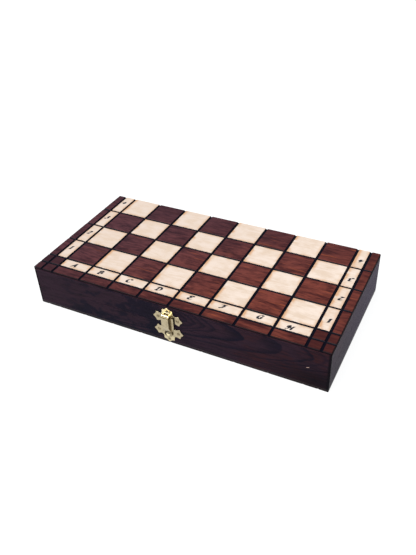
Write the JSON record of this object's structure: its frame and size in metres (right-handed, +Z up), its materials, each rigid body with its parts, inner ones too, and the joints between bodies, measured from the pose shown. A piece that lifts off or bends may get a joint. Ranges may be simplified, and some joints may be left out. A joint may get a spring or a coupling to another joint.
{
  "type": "folding chess box",
  "caption": "Flat wooden folding box whose two trays carry half of a chess board each on the outside, hinged at the back, with a brass hasp latch at the front.",
  "frame": {"origin": "on the table, in the middle of the closed box's footprint, with the latch and the hinge barrels counted", "axes": "+X along the row of files, from a to h; +Y from the latch to the hinges; +Z up, from the table to the playing face of ranks 1 to 4"},
  "size_m": [0.3, 0.1598, 0.044],
  "materials": {
    "board_wood": "red-brown mahogany stain and pale maple under gloss lacquer, with black milled lines",
    "stained_wood": "very dark purple-brown stain with visible grain, under gloss lacquer",
    "felt": "short wool felt",
    "latch_brass": "pale brass plate, lightly brushed",
    "hinge_brass": "satin brass",
    "nail_brass": "satin brass, darker in the slots and edges"
  },
  "bodies": {
    "lower_half": {"lower_panel": "board_wood", "lower_front_rail": "stained_wood", "lower_back_rail": "stained_wood", "lower_left_rail": "stained_wood", "lower_right_rail": "stained_wood", "lower_lining": "felt", "left_hinge_lower_leaf": "hinge_brass", "left_hinge_pin": "hinge_brass", "right_hinge_lower_leaf": "hinge_brass", "right_hinge_pin": "hinge_brass", "lower_hinge_nails": "nail_brass", "latch_lower_plate": "latch_brass", "latch_lower_nails": "nail_brass"},
    "upper_half": {"upper_panel": "board_wood", "upper_front_rail": "stained_wood", "upper_back_rail": "stained_wood", "upper_left_rail": "stained_wood", "upper_right_rail": "stained_wood", "upper_lining": "felt", "left_hinge_upper_leaf": "hinge_brass", "right_hinge_upper_leaf": "hinge_brass", "upper_hinge_nails": "nail_brass", "latch_upper_plate": "latch_brass", "latch_pin": "latch_brass", "latch_upper_nails": "nail_brass"},
    "hasp": {"latch_hasp": "latch_brass"}
  },
  "joints": [
    {"name": "lid_hinge", "type": "hinge", "parent": "lower_half", "child": "upper_half", "pos_m": [0, 0.07825, 0.022], "axis": [-1, 0, 0], "range_deg": [0, 180]},
    {"name": "hasp_hinge", "type": "hinge", "parent": "upper_half", "child": "hasp", "pos_m": [-0.0007, -0.0781, 0.0343], "axis": [-1, 0, 0], "range_deg": [0, 160]}
  ]
}
